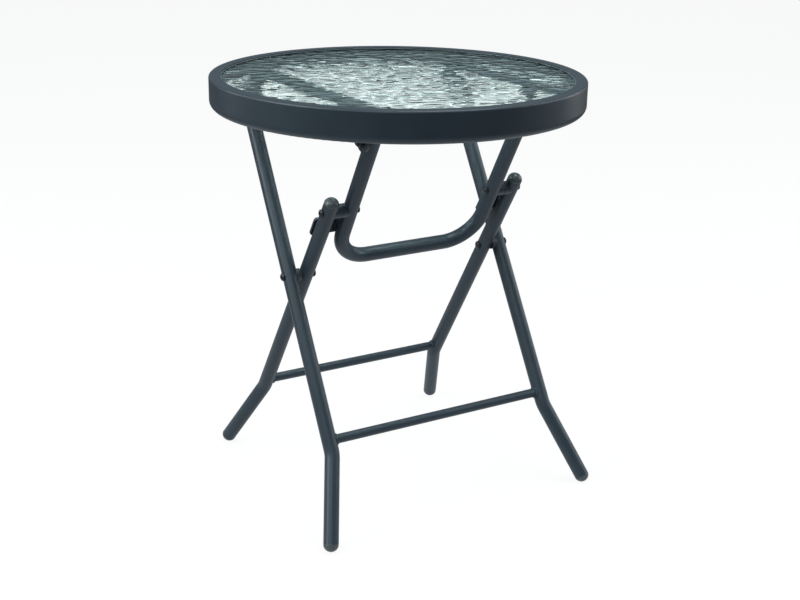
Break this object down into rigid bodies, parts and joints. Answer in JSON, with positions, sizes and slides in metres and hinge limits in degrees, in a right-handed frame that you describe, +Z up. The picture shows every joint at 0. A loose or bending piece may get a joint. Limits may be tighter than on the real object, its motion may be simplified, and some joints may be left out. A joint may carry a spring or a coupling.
{
  "type": "bistro table",
  "caption": "Round folding side table with a textured glass top in a deep steel rim, on crossed tube legs that a U-shaped yoke locks open.",
  "frame": {"origin": "on the floor, under the centre of the round top", "axes": "+X along the hinge axes and cross bars, +Y towards the inner legs' feet, +Z up"},
  "size_m": [0.4, 0.4, 0.4535],
  "materials": {
    "powder_coat": "satin anthracite powder coat",
    "glass": "rippled tempered glass",
    "gasket_rubber": "satin grey",
    "pad_rubber": "matt black",
    "cap_plastic": "semi-gloss grey-green",
    "nylon": "matt",
    "sleeve_steel": "satin anthracite powder coat",
    "black_hardware": "black oxide"
  },
  "bodies": {
    "outer_legs": {"outer_leg_left": "powder_coat", "outer_leg_right": "powder_coat", "outer_crossbar": "powder_coat", "outer_foot_caps": "cap_plastic", "outer_leg_end_caps": "cap_plastic", "scissor_bolts": "black_hardware", "scissor_spacers": "nylon", "scissor_washers": "black_hardware", "scissor_nuts": "black_hardware"},
    "inner_legs": {"inner_leg_left": "powder_coat", "inner_leg_right": "powder_coat", "inner_crossbar": "powder_coat", "inner_foot_caps": "cap_plastic", "inner_leg_end_caps": "cap_plastic", "toggle_bolts": "black_hardware", "toggle_bolt_sleeves": "sleeve_steel"},
    "yoke": {"yoke_tube": "powder_coat", "yoke_end_caps": "cap_plastic", "stop_plate_left": "powder_coat", "stop_plate_right": "powder_coat", "toggle_nut_sleeves": "sleeve_steel", "toggle_nuts": "black_hardware"},
    "top": {"top_rim": "powder_coat", "glass_panel": "glass", "glass_gasket": "gasket_rubber", "glass_clips": "powder_coat", "glass_pads": "pad_rubber", "support_rail_left": "powder_coat", "support_rail_right": "powder_coat", "leg_bracket_left": "powder_coat", "leg_bracket_right": "powder_coat", "yoke_bracket_left": "powder_coat", "yoke_bracket_right": "powder_coat", "leg_pivot_bolts": "black_hardware", "leg_pivot_washers": "nylon", "leg_pivot_nuts": "black_hardware", "yoke_pivot_bolts": "black_hardware", "yoke_pivot_washers": "nylon", "yoke_pivot_nuts": "black_hardware"}
  },
  "joints": [
    {"name": "top_fold", "type": "hinge", "parent": "outer_legs", "child": "top", "pos_m": [0, 0.0911, 0.4155], "axis": [1, 0, 0], "range_deg": [0, 49.4]},
    {"name": "yoke_fold", "type": "hinge", "parent": "top", "child": "yoke", "pos_m": [0, -0.10033, 0.4105], "axis": [1, 0, 0], "range_deg": [0, 57.8]},
    {"name": "scissor_fold", "type": "hinge", "parent": "outer_legs", "child": "inner_legs", "pos_m": [0, -0.00624, 0.25058], "axis": [1, 0, 0], "range_deg": [-57.8, 0]}
  ],
  "couplings": [
    {"joint": "yoke_fold", "follows": "top_fold", "ratio": 1.17},
    {"joint": "scissor_fold", "follows": "top_fold", "ratio": -1.17}
  ]
}
